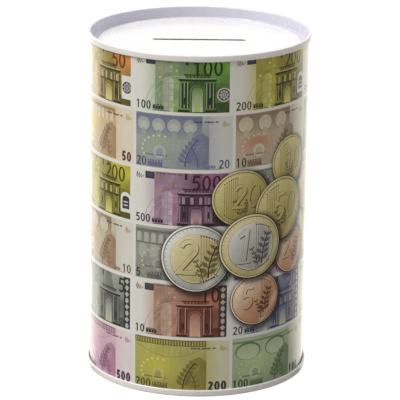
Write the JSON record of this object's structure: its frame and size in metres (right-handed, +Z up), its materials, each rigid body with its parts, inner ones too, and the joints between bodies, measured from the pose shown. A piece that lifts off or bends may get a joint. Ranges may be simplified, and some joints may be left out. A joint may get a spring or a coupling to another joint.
{
  "type": "tin money box",
  "caption": "Cylindrical printed tinplate money box with a coin slot in its sunken white top end, both ends double-seamed onto the body.",
  "frame": {"origin": "centre of the bottom seam's ring, on the plane that the box stands on", "axes": "+Z up along the can's axis towards the coin slot, +X along the slot, -Y towards the front, +Y towards the side seam"},
  "size_m": [0.102, 0.102, 0.158],
  "materials": {
    "printed_tinplate": "white-coated tinplate printed with play-money tiles in many colours under clear gloss lacquer",
    "white_lacquer": "plain white gloss stoving lacquer on tinplate",
    "lining_compound": "matt dried rubber lining compound, hidden inside the seams"
  },
  "bodies": {
    "root": {"body_shell": "printed_tinplate", "top_end": "white_lacquer", "bottom_end": "white_lacquer", "top_seam_compound": "lining_compound", "bottom_seam_compound": "lining_compound"}
  },
  "joints": []
}
